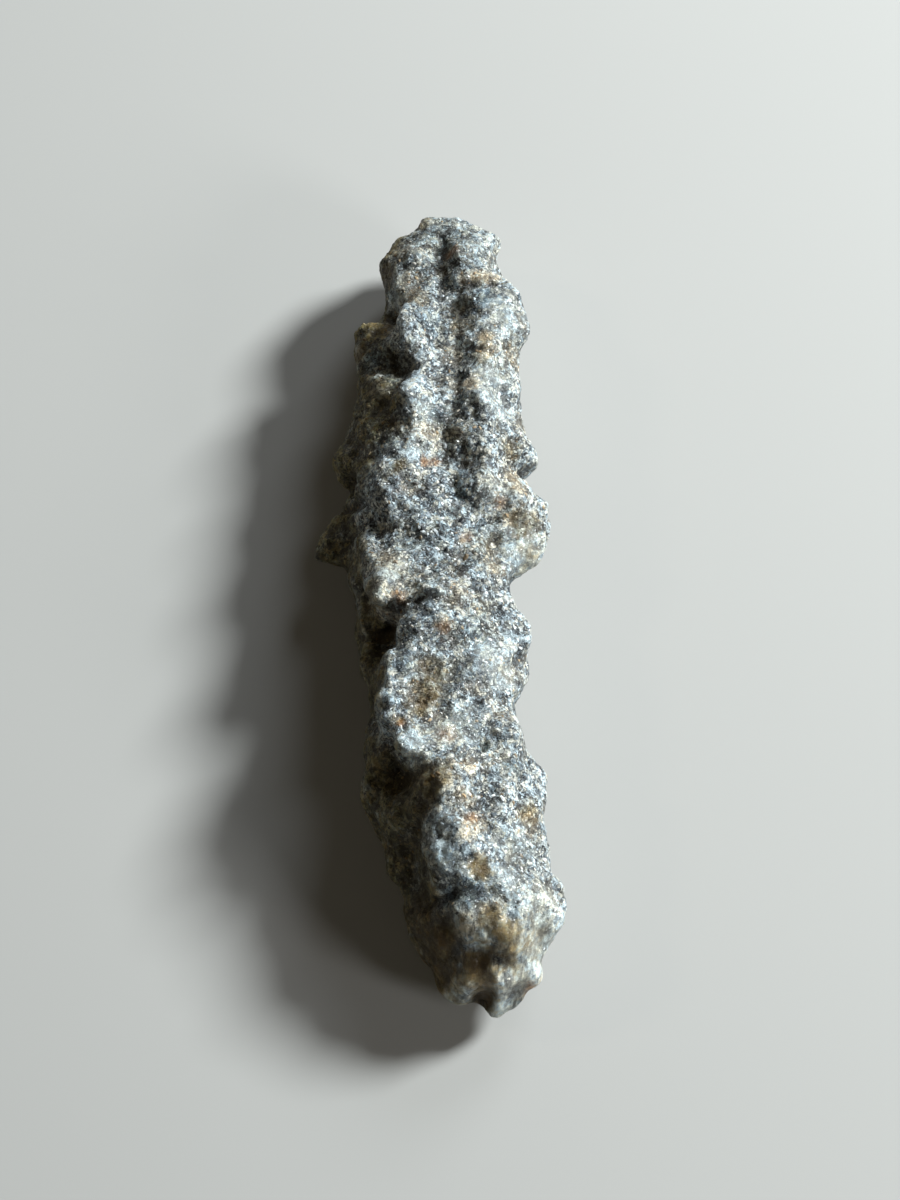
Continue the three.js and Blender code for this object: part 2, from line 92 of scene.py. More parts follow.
# Strokes of the carving tool across the upper side. Each has its course as (x, y) points, its half width
# and its depth, all in mm: a crease has a depth above 0, a rib or lip one below 0.
STROKES = [
    ([(1.4, 23.9), (2.6, 24.2), (4.2, 24.5), (5.2, 24.9)], 0.7, 0.60),  # under the head's right lobe
    ([(0.4, 29.2), (0.5, 27.5), (0.2, 25.6), (0.6, 24.2)], 0.9, 0.20),  # down the head
    ([(1.5, 23.4), (1.5, 21.5), (1.5, 19.5), (1.6, 17.5), (1.5, 13.5)], 1.0, 0.15),  # middle groove
    ([(1.5, 12.4), (1.4, 10.5), (1.6, 8.4), (1.9, 6.4)], 1.6, -0.35),  # silt in its near half
    ([(-3.2, 22.4), (-3.1, 20.5), (-3.2, 18.8), (-2.6, 17.6), (-1.4, 16.8)], 0.7, 0.15),  # by the long knob
    ([(-6.2, 16.4), (-4.8, 16.0), (-3.2, 15.6)], 0.7, 0.1),  # under the outer knob
    ([(-7.4, 7.2), (-6.3, 6.7), (-5.6, 6.1)], 0.6, 0.5),  # between the left fins
    ([(6.2, 6.4), (5.3, 5.2), (4.8, 4.0)], 1.1, -0.55),  # behind the right block
    ([(4.5, 2.8), (4.4, 2.0), (4.2, 0.4), (4.7, -1.2)], 0.8, 0.35),  # beside the right block
    ([(-5.2, -3.8), (-4.0, -4.0), (-2.8, -3.4), (-1.9, -2.4)], 0.7, 0.3),  # under the hanging knob
    ([(0.4, -7.6), (0.3, -8.4)], 0.9, -0.45),  # far end of the slanting hollow
    ([(-0.2, -8.6), (-0.7, -9.8), (-1.0, -10.8)], 1.9, 0.25),  # slanting hollow
    ([(-0.4, -9.2), (-0.6, -11.2)], 0.8, -0.4),  # silt along the bottom of that hollow
    ([(-2.6, -12.1), (-2.4, -12.9)], 0.5, 0.35),  # beside the left lobe
    ([(-0.9, -16.8), (-1.1, -18.2)], 1.2, -0.6),  # under the bright lip
    ([(0.1, -16.4), (0.2, -17.6)], 1.3, -0.5),  # right of the bright lip
    ([(3.6, -13.6), (3.6, -14.0)], 0.5, 0.45),  # a cavity
    ([(-1.7, -19.8), (-1.6, -21.4), (-1.1, -22.9), (-0.8, -24.4)], 1.1, 0.4),  # flank by the near back
    ([(-0.6, -25.0), (0.4, -25.1), (1.3, -24.7)], 0.6, 0.6),  # a notch in the crest
    ([(3.1, -28.4), (3.1, -29.6), (3.5, -30.8)], 1.1, 0.45),  # the hollow at the near end
    ([(4.5, -26.9), (5.2, -28.3)], 1.2, -0.5),  # fullness of the near face
    ([(5.0, -24.0), (5.5, -25.4), (6.0, -26.8)], 1.9, -0.45),  # fullness beside the big near lobe
    ([(6.7, -24.2), (7.2, -25.8)], 1.0, 0.2),  # the rim of that lobe, worn low
    ([(3.8, -25.6), (3.9, -26.4)], 0.5, 0.15),  # a dimple above the near hollow
    ([(0.9, -26.0), (1.3, -27.6), (1.3, -29.2)], 0.9, 0.2),  # left of the near hollow
    ([(2.2, 27.4), (3.6, 27.2)], 1.6, -0.3),  # the head's right lobe
    ([(-2.4, 20.2), (-1.6, 18.8)], 1.2, -0.15),  # the long knob
    ([(-2.6, -13.9), (-1.8, -14.8), (-0.6, -15.2), (0.9, -15.2)], 0.6, -0.4),  # the bright lip
    ([(-3.3, -11.0), (-3.6, -12.6)], 0.7, -0.35),  # the left lobe
    ([(-4.0, -0.7), (-4.0, -2.2)], 1.3, -0.3),  # the hanging knob
    ([(-0.5, -2.0), (0.1, -2.2)], 0.8, -0.45),  # fullness behind the glassy curl
    ([(-2.1, -3.2), (-1.4, -2.3), (-0.6, -1.9), (0.3, -2.1)], 0.4, -0.3),  # a glassy curl
    ([(1.3, -8.6), (0.9, -10.2), (0.2, -11.6)], 1.0, 0.15),  # right bank of the slanting hollow, worn low
    ([(8.5, 5.3), (8.9, 4.3)], 0.9, 0.35),  # corner of the right block, worn round
    ([(3.4, -27.6), (3.4, -27.9)], 0.6, -0.3),  # a bead in the near face
    ([(-3.3, -6.8), (-3.3, -9.4)], 0.5, -0.3),  # left bank of the slanting hollow
    # The rib along the near back
    ([(0.9, -17.1), (0.6, -18.4), (-0.4, -19.5), (-0.5, -21.0), (-0.1, -22.5), (0.2, -24.2)], 0.8, -0.35),
]

# The strokes leave alone what faces further down than this, as the upward part of its outward direction.
CARVED_ABOVE = -0.2

# The crest that parts the clean upper side from the left flank, which is soiled and painted in shade: (y, x)
# of each point, in mm.
CREST = [
    (31.0, -1.9), (28.0, -3.2), (26.0, -3.8), (23.0, -3.4), (20.0, -3.2), (16.8, -2.6), (12.0, -2.7),
    (10.0, -3.9), (8.0, -5.0), (5.5, -5.9), (2.5, -4.9), (0.0, -5.1), (-2.5, -4.4), (-3.4, -2.6),
    (-6.0, -3.1), (-9.0, -3.5), (-12.0, -4.2), (-13.6, -3.0), (-15.2, -1.6), (-16.0, 0.4), (-18.0, 0.6),
    (-19.6, -0.6), (-22.5, -0.1), (-25.0, 1.0), (-27.0, 1.7), (-29.4, 1.6), (-31.0, 0.2),
]

# Where the glass ran smooth: beyond NEAR_END_Y, and on the flank more in its near half than in its far half
NEAR_END_Y = -24.0
FLANK_SPLIT_Y = 2.0
NEAR_FLANK_MELT = 0.50
FAR_FLANK_MELT = 0.25

# Patches of colour on the upper side, a few of them painted light and painted shade: (x, y) of the middle
# and reach in mm, and how strong.
PATCHES = {
    # Bleached patches are pale glass; the two at (0.2, -20.2) and (0.5, -22.6) are painted light on a slope
    # that turns away from the lamps.
    "bleached_and_painted_light": [
        (-3.1, 23.9, 0.8, 0.9), (-3.0, 25.2, 0.7, 0.6), (3.1, 27.3, 1.2, 0.2), (5.4, 21.5, 1.3, 0.4),
        (-1.8, 18.8, 0.5, 0.8), (4.2, 16.2, 1.6, 0.5), (4.5, 13.5, 1.4, 0.5), (-0.9, 12.8, 1.0, 0.7),
        (-1.4, 9.8, 1.1, 0.5), (6.2, 2.4, 1.8, 0.6), (7.8, 0.9, 1.0, 0.6), (7.2, 3.3, 1.2, 0.6),
        (-2.2, 2.3, 1.2, 0.4), (-0.2, -2.0, 0.8, 0.5), (3.8, -6.5, 1.3, 0.5), (4.6, -8.0, 1.6, 0.6),
        (2.0, -11.8, 1.6, 0.4), (-1.4, -14.2, 1.4, 0.6), (5.5, -20.8, 1.6, 0.5),
        (0.2, -20.2, 1.3, 0.45), (0.5, -22.6, 1.2, 0.4), (4.8, -23.7, 1.2, 0.7),
        (6.6, -24.8, 1.6, 0.35), (8.2, -26.6, 1.2, 0.35), (3.4, -27.7, 0.6, 0.8),
        (7.0, -28.0, 1.4, 0.4), (5.8, -29.6, 1.0, 0.5), (1.2, -31.1, 0.9, 0.6), (4.4, -31.6, 0.9, 1.3),
    ],
    "cream": [
        (4.5, 18.5, 3.2, 0.15), (-1.4, 11.4, 1.2, 0.4), (0.2, 10.6, 1.0, 0.4), (4.2, 6.5, 1.5, 0.35),
        (7.0, 1.0, 0.9, 0.8), (-4.0, 0.6, 1.0, 0.5), (-3.2, -0.2, 1.4, 0.7), (-4.2, -1.8, 1.2, 0.7),
        (0.6, -13.0, 1.4, 0.4), (4.6, -14.6, 1.0, 0.25), (7.8, -24.4, 1.4, 0.5), (7.4, -26.4, 1.3, 0.6),
        (6.9, -28.2, 1.1, 0.6), (6.0, -29.8, 1.0, 0.7),
    ],
    # Slate patches are dark glass; the broad one over the head, which faces away from the lamps, and the one
    # at (-4.1, 15.8) are painted shade.
    "slate_and_painted_shade": [
        (0.4, 28.2, 3.6, 0.30), (0.6, 2.6, 4.2, 0.22), (1.8, -4.0, 3.2, 0.15), (0.6, 28.2, 1.2, 0.6),
        (3.6, 23.1, 1.2, 0.5), (-0.4, 21.2, 1.1, 0.5), (-4.9, 18.6, 1.3, 0.7), (-3.9, 17.3, 1.2, 0.6),
        (-4.1, 15.8, 1.0, 0.5), (-2.8, 17.4, 0.9, 0.5), (0.6, 12.6, 1.0, 0.5), (-3.8, 10.8, 1.2, 0.5),
        (-5.2, 8.2, 1.0, 0.4), (1.6, 7.4, 0.8, 0.4), (1.9, 6.3, 0.6, 0.8), (1.3, 5.0, 0.5, 0.8),
        (3.6, 3.3, 1.4, 0.4), (2.4, -4.6, 1.6, 0.4), (-2.0, -8.0, 1.0, 0.6), (-3.2, -10.6, 0.6, 0.5),
        (3.6, -13.8, 0.5, 0.9), (5.6, -15.2, 0.7, 0.6), (1.2, -22.8, 1.3, 0.3), (2.3, -24.6, 1.1, 0.7),
        (1.0, -24.6, 0.8, 0.6),
    ],
    "brown": [
        (0.4, 28.2, 3.6, 0.14), (-4.4, 15.7, 1.0, 0.7), (-1.2, 30.8, 0.8, 0.7), (-3.2, 28.2, 1.2, 0.5),
        (-4.0, 26.2, 0.9, 0.8), (0.4, 25.8, 0.6, 0.6), (-1.5, 23.4, 1.0, 0.4), (1.7, 22.6, 0.9, 0.5),
        (-4.2, 21.4, 1.2, 0.7), (1.6, 20.8, 0.9, 0.5), (-6.2, 19.5, 0.9, 0.7), (-2.6, 17.6, 1.0, 0.35),
        (1.5, 11.2, 0.8, 0.5), (5.6, 10.6, 0.9, 0.6), (6.3, 4.8, 1.1, 0.7), (7.3, 4.6, 0.9, 0.6),
        (7.0, 2.6, 0.8, 0.4), (3.4, 1.8, 1.4, 0.3), (3.3, -3.0, 1.0, 0.35), (0.0, -8.4, 1.1, 0.7),
        (-0.7, -9.8, 1.3, 0.7), (-1.2, -11.0, 1.0, 0.6), (-2.6, -12.2, 0.5, 0.9),
        (-0.8, -16.4, 1.0, 0.6), (0.5, -16.4, 1.2, 0.8), (-0.7, -18.0, 1.2, 0.5),
        (6.7, -18.2, 0.8, 0.8), (3.2, -23.0, 0.9, 0.9), (4.0, -26.2, 1.1, 0.9),
        (-1.4, -25.2, 1.8, 0.45), (-0.2, -27.2, 1.6, 0.7), (0.8, -29.4, 1.1, 0.8),
        (1.8, -30.0, 0.8, 0.7), (2.0, -26.8, 0.8, 0.6), (5.0, -27.3, 1.3, 1.1), (5.3, -28.6, 0.7, 0.8),
        (3.0, -29.4, 1.4, 1.2), (3.6, -30.6, 0.9, 0.9),
    ],
    "amber": [
        (-2.8, 8.3, 0.6, 1.0), (-1.0, -11.3, 0.6, 0.8), (3.2, -23.0, 0.8, 0.7), (-0.4, -26.2, 1.4, 0.4),
        (3.8, -25.8, 0.5, 0.3), (5.0, -27.4, 0.7, 0.2), (0.5, -28.0, 1.5, 0.7), (5.3, -28.8, 0.7, 0.5),
        (2.9, -29.2, 1.2, 0.7), (3.4, -30.4, 0.9, 0.7), (-0.4, -9.9, 0.9, 0.4),
    ],
    "tan": [
        (2.1, 24.7, 0.5, 0.6), (2.9, 24.9, 0.5, 0.7), (3.7, 25.0, 0.5, 0.7), (4.4, 25.2, 0.5, 0.7),
        (3.8, 19.4, 0.7, 0.8), (3.8, 18.5, 0.7, 0.8), (3.7, 17.8, 0.6, 0.7), (-0.6, 11.4, 0.9, 0.4),
        (5.8, 18.8, 0.8, 0.4), (7.1, 2.6, 0.9, 0.15), (2.6, 15.3, 0.9, 0.6), (5.8, 8.3, 0.9, 0.7),
        (6.2, 7.1, 0.8, 0.6), (4.4, 0.7, 0.8, 0.7), (-2.4, -2.0, 0.7, 0.3), (1.6, -2.3, 1.2, 0.35),
        (0.7, -4.8, 0.7, 0.5), (5.4, -7.6, 1.0, 0.3), (2.4, -15.4, 0.8, 0.5), (2.3, -18.0, 0.8, 0.5),
        (6.9, -18.9, 0.7, 0.4), (6.9, -19.8, 0.5, 0.4), (2.7, -19.6, 0.9, 0.6), (2.2, -20.5, 0.6, 0.5),
    ],
    "rust": [
        (1.15, 27.2, 0.45, 0.9), (0.0, 9.1, 0.4, 0.6), (-0.8, 8.8, 0.5, 0.7), (4.9, 5.8, 0.5, 0.3),
        (2.3, 2.7, 0.5, 0.4), (-2.6, -2.3, 0.5, 0.45), (0.7, -5.1, 0.5, 0.5), (-2.5, -12.4, 0.4, 0.6),
        (0.8, -13.2, 0.6, 0.35), (2.6, -19.3, 0.5, 0.4), (6.9, -30.3, 0.5, 0.8),
    ],
}

# Where the sand was coarse and sharp: (x, y) of the middle and reach in mm, and how strong.
GRIT = [
    (-0.5, 2.5, 4.6, 1.0), (2.4, -3.0, 2.8, 0.8), (1.4, 6.0, 2.4, 0.8), (0.0, 10.0, 2.2, 0.6),
    (4.2, 9.5, 2.2, 0.5), (-4.7, 18.4, 1.8, 1.0), (-4.6, 11.0, 2.4, 0.6), (0.5, 26.5, 2.4, 0.6),
    (1.5, 19.0, 2.0, 0.4), (4.6, -19.0, 3.0, 0.4),
]

# Where the glass ran smooth among the grains of the upper side, given in the same way
GLASSY = [
    (5.2, 21.8, 2.2, 0.5), (4.0, 15.2, 1.6, 0.35), (6.8, 2.4, 1.8, 0.6), (-1.6, 15.4, 1.4, 0.4),
    (-3.6, -0.6, 1.4, 0.35), (4.0, -7.2, 2.2, 0.4), (0.6, -21.0, 2.6, 0.55), (4.0, -22.4, 2.6, 0.6),
]

# Sizes of the wandering in the edges of patches, in the faint stains between them, in the soil and painted
# shade and in the clusters of grains, in metres; and the height in mm that soil reaches all round
BROAD_RAGS = 0.8 * MM
FINE_RAGS = 0.3 * MM
DRIFT_SIZE = 2.6 * MM
SOIL_AND_SHADE_EDGE_SIZE = 1.3 * MM
SOIL_AND_SHADE_PATCH_SIZE = 1.4 * MM
CLUSTER_SIZE = 1.5 * MM
SOIL_HEIGHT = 4.0

# How each kind of patch colours the sand under it: a tint that multiplies, then a flat colour laid on,
# and the most of that flat colour.
PATCH_LOOKS = {
    # Bleached: pale glass, and painted light in places
    "bleached_and_painted_light": dict(tint=(1.28, 1.38, 1.39), flat=(0.56, 0.60, 0.60), most=0.45),
    "cream": dict(tint=(1.33, 1.25, 1.07), flat=(0.54, 0.50, 0.42), most=0.40),
    # Slate: dark glass, and painted shade in places
    "slate_and_painted_shade": dict(tint=(0.46, 0.60, 0.68), flat=(0.056, 0.074, 0.088), most=0.32),
    "brown": dict(tint=(0.84, 0.66, 0.40), flat=(0.120, 0.086, 0.040), most=0.60),
    "amber": dict(tint=(0.98, 0.80, 0.50), flat=(0.150, 0.112, 0.058), most=0.42),
    "tan": dict(tint=(1.34, 1.08, 0.78), flat=(0.42, 0.325, 0.215), most=0.42),
    # Soil: olive-brown soil, darkened further as the painted shade of the left flank
    "soil_and_painted_shade": dict(tint=(0.50, 0.39, 0.17), flat=(0.062, 0.046, 0.017), most=0.42),
    "rust": dict(tint=(1.10, 0.66, 0.38), flat=(0.26, 0.125, 0.060), most=0.55),
}

# Grains: the pale and the dark end of their colour, and how rough they are.
GRAIN_KINDS = {
    "clear_grains": dict(pale=(0.78, 0.82, 0.83), dark=(0.34, 0.38, 0.40), rough=0.25),
    "milky_grains": dict(pale=(0.66, 0.63, 0.56), dark=(0.34, 0.33, 0.30), rough=0.45),
    "smoky_grains": dict(pale=(0.28, 0.32, 0.35), dark=(0.11, 0.135, 0.16), rough=0.28),
    "dark_grains": dict(pale=(0.08, 0.085, 0.09), dark=(0.015, 0.016, 0.018), rough=0.32),
    "stained_grains": dict(pale=(0.44, 0.34, 0.22), dark=(0.13, 0.09, 0.05), rough=0.50),
}

# How common each kind of grain is: its share on plain sand, what each fact of the place adds to that,
# and the least and the most that the share can be.
# Where soil and slate stand for painted shade they favour dark grains, and where bleached stands for painted
# light it favours clear ones.
GRAIN_SHARES = {
    "clear_grains": (0.24, dict(grit=0.15, hollow=-0.2, bleached_and_painted_light=0.3, soil_and_painted_shade=-0.35), 0.02, 1.0),
    "milky_grains": (0.20, dict(cream=0.6, bleached_and_painted_light=0.2, hollow=-0.1), 0.02, 1.0),
    "smoky_grains": (0.36, dict(slate_and_painted_shade=0.2, cream=-0.2), 0.05, 1.0),
    "dark_grains": (0.20, dict(grit=0.15, hollow=0.28, slate_and_painted_shade=0.3, soil_and_painted_shade=0.25), 0.02, 0.8),
    "stained_grains": (0.04, dict(tan=0.5, rust=0.6, soil_and_painted_shade=0.3, brown=0.4), 0.0, 1.0),
}
BARE = 0.40  # the share of places that stay bare on plain sand
# The facts of a place that its grain depends on
PLACE_FACTS = ("hollow", "melt", "grit", "tan", "brown", "rust", "cream", "bleached_and_painted_light", "slate_and_painted_shade", "soil_and_painted_shade")

# The pattern in the glass, in metres: drowned grains of three sizes, and what runs between them
COARSE_CELL = 0.40 * MM
SMALL_CELL = 0.20 * MM
DUST_CELL = 0.105 * MM
CLUMP_SIZE = 1.1 * MM
BEND_SIZE = 0.45 * MM  # the rows of drowned grains are bent on this scale,
BEND_REACH = 0.5 * MM  # and by up to half of this
STREAK_SIZE = 0.24 * MM
THREAD_SIZE = 0.42 * MM
THREAD_RISE = 0.03 * MM
SPECKLE_SIZE = 0.5 * MM  # ragged edge of a stain
CLOUD_SIZE = 0.12 * MM  # cloudiness inside a grain

# Streaks are longest where space is squeezed most, along the stick.
STREAK_SQUEEZE = (1.0, 0.22, 0.45)

# Shades of the drowned grains, as (level, colour)
GLASS_SHADES = [
    (0.14, (0.012, 0.013, 0.015)),
    (0.32, (0.055, 0.063, 0.071)),
    (0.48, (0.15, 0.165, 0.175)),
    (0.64, (0.31, 0.33, 0.335)),
    (0.80, (0.54, 0.57, 0.57)),
    (0.96, (0.80, 0.82, 0.80)),
]

# How strongly each part of the pattern counts in the level that picks a shade
COARSE_WEIGHT = 0.34
SMALL_WEIGHT = 0.46
DUST_WEIGHT = 0.40
MEAN_CELLS = 0.60  # what the three add up to on average
MEAN_LEVEL = 0.49
SAND_CONTRAST = 1.36
GRIT_CONTRAST = 0.60  # what coarse sharp sand adds to that
STREAK_CONTRAST = 1.8
CLUMP_CONTRAST = 1.35
MELT_BLUR = 0.8  # how far the streaks take the place of the grains where the glass ran
# Hollows and crevices are darkened as painted shade.
HOLLOW_PAINTED_SHADE = -0.16
COVERED_HOLLOW_PAINTED_SHADE = -0.34  # what smooth glass or soil adds to that
CREVICE_PAINTED_SHADE = -0.12

# Tints and overlays of the glass, with painted highlights and painted light on the ridges, and how rough the
# surfaces are
COOL_TINT = (0.86, 1.0, 1.10)
WARM_TINT = (1.04, 1.0, 0.89)
# The threads are painted highlights.
THREAD_HIGHLIGHT_COLOUR = (0.52, 0.55, 0.55)
THREAD_HIGHLIGHT_STRENGTH = 0.40
THREAD_WIDTH = 0.030  # how far the noise may be from its middle value in a thread
# The haze is clouded glass, and its thickening on the ridges is painted light.
HAZE_AND_RIDGE_LIGHT_COLOUR = (0.29, 0.315, 0.325)
HAZE_AND_RIDGE_LIGHT_STRENGTH = 0.20
GLASS_ROUGHNESS = 0.24
GLASS_ROUGHNESS_SPREAD = 0.30
GRAIN_ROUGHNESS_SPREAD = 0.25
# The soil mask below includes the painted shade of the left flank.
SOIL_DULLNESS = 0.30  # what soil adds to the roughness
# What the grains take includes the painted shade and painted light of the patches and the soil.
GRAIN_STAIN_AND_SHADE = 0.85  # how strongly grains take the stains, against 1 for the glass
GLASS_IOR = 1.47
QUARTZ_IOR = 1.54

# The studio: floor, sky and four round lamps, each with its direction, its distance and size in metres,
# and its power in watts
FLOOR_SIDE = 1.6
FLOOR_COLOUR = (0.44, 0.44, 0.43, 1.0)
SKY_COLOUR = (1.0, 0.89, 0.72, 1.0)
SKY_STRENGTH = 0.040
LAMPS = {
    "key": dict(toward=(0.74, 0.40, 0.58), distance=0.55, size=0.13, power=5.9, colour=(0.94, 0.99, 0.99)),
    "back": dict(toward=(0.40, 0.80, 0.60), distance=0.60, size=0.20, power=1.0, colour=(0.90, 0.96, 1.0)),
    "near": dict(toward=(0.80, -0.45, 0.40), distance=0.60, size=0.16, power=1.0, colour=(0.98, 0.99, 0.98)),
    "left": dict(toward=(-0.75, 0.20, 0.63), distance=0.60, size=0.08, power=0.16, colour=(1.0, 0.90, 0.68)),
}

# The camera looks down on the stone from its near end.
CAMERA_TARGET = Vector((1.04, -0.62, 6.0)) * MM
CAMERA_ELEVATION = math.radians(68.0)
CAMERA_DISTANCE = 210.0 * MM
CAMERA_LENS = 83.4
CAMERA_SENSOR = 36.0


# ---------------------------------------------------------------- small helpers


def only(thing):
    """Makes one object the selected and active one."""
    bpy.ops.object.select_all(action="DESELECT")
    thing.select_set(True)
    bpy.context.view_layer.objects.active = thing


def twin(thing, name):
    """A free copy of an object, with its own mesh."""
    copy = thing.copy()
    copy.data = thing.data.copy()
    copy.name = copy.data.name = name
    copy.parent = None
    copy.hide_render = False
    bpy.context.scene.collection.objects.link(copy)
    return copy


def apply(thing, name):
    """Makes one modifier of an object part of its mesh."""
    only(thing)
    bpy.ops.object.modifier_apply(modifier=name)


def lay(tree, kind, inputs=None, **settings):
    """Adds a node to a tree, sets its options and wires or fills its inputs."""
    node = tree.nodes.new(kind)
    for name, value in settings.items():
        setattr(node, name, value)
    for name, value in (inputs or {}).items():
        socket = node.inputs[name]
        if isinstance(value, bpy.types.NodeSocket):
            tree.links.new(value, socket)
        else:
            socket.default_value = value
    return node


def maths(tree, operation, *values):
    """The result of a sum on single numbers."""
    return lay(tree, "ShaderNodeMath", dict(enumerate(values)), operation=operation).outputs[0]


def vector_maths(tree, operation, *values):
    """The result of a sum on vectors."""
    return lay(tree, "ShaderNodeVectorMath", dict(enumerate(values)), operation=operation).outputs[0]


def scaled(tree, vector, scale):
    """A vector times a number."""
    return lay(tree, "ShaderNodeVectorMath", {0: vector, "Scale": scale}, operation="SCALE").outputs[0]


def geometry_tree(name):
    """An empty geometry node tree and its input and output nodes."""
    tree = bpy.data.node_groups.new(name, "GeometryNodeTree")
    tree.interface.new_socket("Geometry", in_out="INPUT", socket_type="NodeSocketGeometry")
    tree.interface.new_socket("Geometry", in_out="OUTPUT", socket_type="NodeSocketGeometry")
    return tree, tree.nodes.new("NodeGroupInput"), tree.nodes.new("NodeGroupOutput")


def grow(thing, tree):
    """Runs a geometry node tree on an object and keeps the result."""
    modifier = thing.modifiers.new(tree.name, "NODES")
    modifier.node_group = tree
    apply(thing, modifier.name)


def write_facts(mesh, facts):
    """Keeps one number a vertex for each named fact, for the materials to read."""
    for name, values in facts.items():
        old = mesh.attributes.get(name)
        if old:
            mesh.attributes.remove(old)
        mesh.attributes.new(name, "FLOAT", "POINT").data.foreach_set("value", values)


def clamp(value, low=0.0, high=1.0):
    """A value held between two limits."""
    return max(low, min(high, value))


# ---------------------------------------------------------------- the fused mass


def even_skin():
    """A copy of the solid stick with an even mesh, smooth enough to carry a fine relief."""
    skin = twin(frame["nodes"]["fulgurite"], "fused_mass")
    only(skin)
    bpy.ops.object.mode_set(mode="EDIT")
    bpy.ops.mesh.select_all(action="SELECT")
    bpy.ops.mesh.remove_doubles(threshold=WELD)
    bpy.ops.object.mode_set(mode="OBJECT")
    remesh = skin.modifiers.new("even", "REMESH")
    remesh.mode = "VOXEL"
    remesh.voxel_size = SKIN_STEP
    apply(skin, "even")
    divide = skin.modifiers.new("divide", "SUBSURF")
    divide.levels = divide.render_levels = 1
    apply(skin, "divide")
    return skin


def off_line(x, y, course):
    """How far a place in plan lies from a course of straight steps."""
    nearest = math.inf
    for (x0, y0), (x1, y1) in zip(course, course[1:]):
        along_x, along_y = x1 - x0, y1 - y0
        share = clamp(((x - x0) * along_x + (y - y0) * along_y) / (along_x**2 + along_y**2))
        nearest = min(nearest, math.hypot(x - x0 - share * along_x, y - y0 - share * along_y))
    return nearest


def carve(skin):
    """Cuts the creases into the upper side and raises its lips and ribs."""
    strokes = []
    for course, width, depth in STROKES:
        xs, ys = [x for x, y in course], [y for x, y in course]
        reach = (min(xs) - width, max(xs) + width, min(ys) - width, max(ys) + width)
        strokes.append((reach, course, width, depth))
    cuts = []
    for vertex in skin.data.vertices:
        x, y = vertex.co.x / MM, vertex.co.y / MM
        cut = 0.0
        if vertex.normal.z > CARVED_ABOVE:
            for (left, right, near, far), course, width, depth in strokes:
                if left < x < right and near < y < far:
                    gap = off_line(x, y, course) / width
                    if gap < 1.0:
                        cut += depth * (1.0 - gap * gap) ** 2
        cuts.append(cut)
    moved = [vertex.co - vertex.normal * (cut * MM) for vertex, cut in zip(skin.data.vertices, cuts)]
    for vertex, place in zip(skin.data.vertices, moved):
        vertex.co = place
    skin.data.update()


def crest_x(y):
    """Where the crest runs at a given y, in mm."""
    for (far, far_x), (near, near_x) in zip(CREST, CREST[1:]):
        if near <= y <= far:
            return near_x + (far_x - near_x) * (y - near) / (far - near)
    return CREST[0][1] if y > CREST[0][0] else CREST[-1][1]


def patch_cover(x, y, ragged, spots):
    """How strongly the patches of one kind colour a place in plan, with ragged edges."""
    total = 0.0
    for middle_x, middle_y, reach, strength in spots:
        if abs(x - middle_x) < 2.0 * reach and abs(y - middle_y) < 2.0 * reach:
            gap = math.hypot(x - middle_x, y - middle_y) / reach * ragged
            total = max(total, strength * clamp(1.5 * (1.0 - 0.8 * gap)))
    return total


def melted(place, normal):
    """How smooth the glass ran: most at the near end, less on the flank and sides, in spots on top."""
    x, y = place.x / MM, place.y / MM
    end = clamp((NEAR_END_Y - y) / 3.0)
    flank = clamp((crest_x(y) - x) / 0.8) * (NEAR_FLANK_MELT if y < FLANK_SPLIT_Y else FAR_FLANK_MELT)
    side = clamp(0.9 - 1.6 * normal.z) * 0.6
    return max(end, flank, side, patch_cover(x, y, 1.0, GLASSY))


def add_relief(skin):
    """Roughens the skin, less where the glass ran smooth."""
    held = skin.vertex_groups.new(name="grainy")
    for vertex in skin.data.vertices:
        held.add([vertex.index], 1.0 - (1.0 - MELT_KEEPS) * melted(vertex.co, vertex.normal), "REPLACE")
    for name, kind, size, height in RELIEF:
        texture = bpy.data.textures.new(name, kind)
        texture.noise_scale = size
        if kind == "CLOUDS":
            texture.noise_depth = 2
        push = skin.modifiers.new(name, "DISPLACE")
        push.texture = texture
        push.texture_coords = "LOCAL"
        push.vertex_group = "grainy"
        push.strength = height
        push.mid_level = 0.5
        apply(skin, name)


def keep_above_floor(tree, geometry):
    """Presses what would pass below the floor level with it."""
    place = lay(tree, "GeometryNodeInputPosition").outputs[0]
    above = vector_maths(tree, "MAXIMUM", place, (-1.0, -1.0, 0.0))
    return lay(tree, "GeometryNodeSetPosition", {"Geometry": geometry, "Position": above}).outputs[0]


def press_level(skin):
    """Flattens the skin's lowest bumps on the floor."""
    tree, start, end = geometry_tree("press_level")
    tree.links.new(keep_above_floor(tree, start.outputs[0]), end.inputs[0])
    grow(skin, tree)


def hollowness(skin, rounds, depth):
    """How far each vertex lies below a smoothed copy of the skin, from -1 on a ridge to 1 in a hollow."""
    smooth = twin(skin, "smoothed")
    blur = smooth.modifiers.new("blur", "SMOOTH")
    blur.factor = 0.9
    blur.iterations = rounds
    apply(smooth, "blur")
    found = []
    for mine, theirs in zip(skin.data.vertices, smooth.data.vertices):
        found.append(clamp((theirs.co - mine.co).dot(mine.normal) / depth, -1.0, 1.0))
    bpy.data.objects.remove(smooth)
    return found


def soil_and_painted_shade_cover(place, normal):
    """Olive-brown colour: soil low down all round, soil with painted shade on the left flank, and darker on
    what faces down.
    """
    x, y, z = place / MM
    ragged = 0.6 * noise.noise(place / SOIL_AND_SHADE_EDGE_SIZE)
    left = clamp((crest_x(y) - x + ragged) / 0.9 + 0.1)
    low = clamp((SOIL_HEIGHT - z) / 3.0) * 0.7
    under = clamp(-normal.z)
    patchy = 1.05 + 0.9 * noise.noise(place / SOIL_AND_SHADE_PATCH_SIZE + Vector((3.0, 0.0, 0.0)))
    return clamp(max(left, low, under) * patchy)


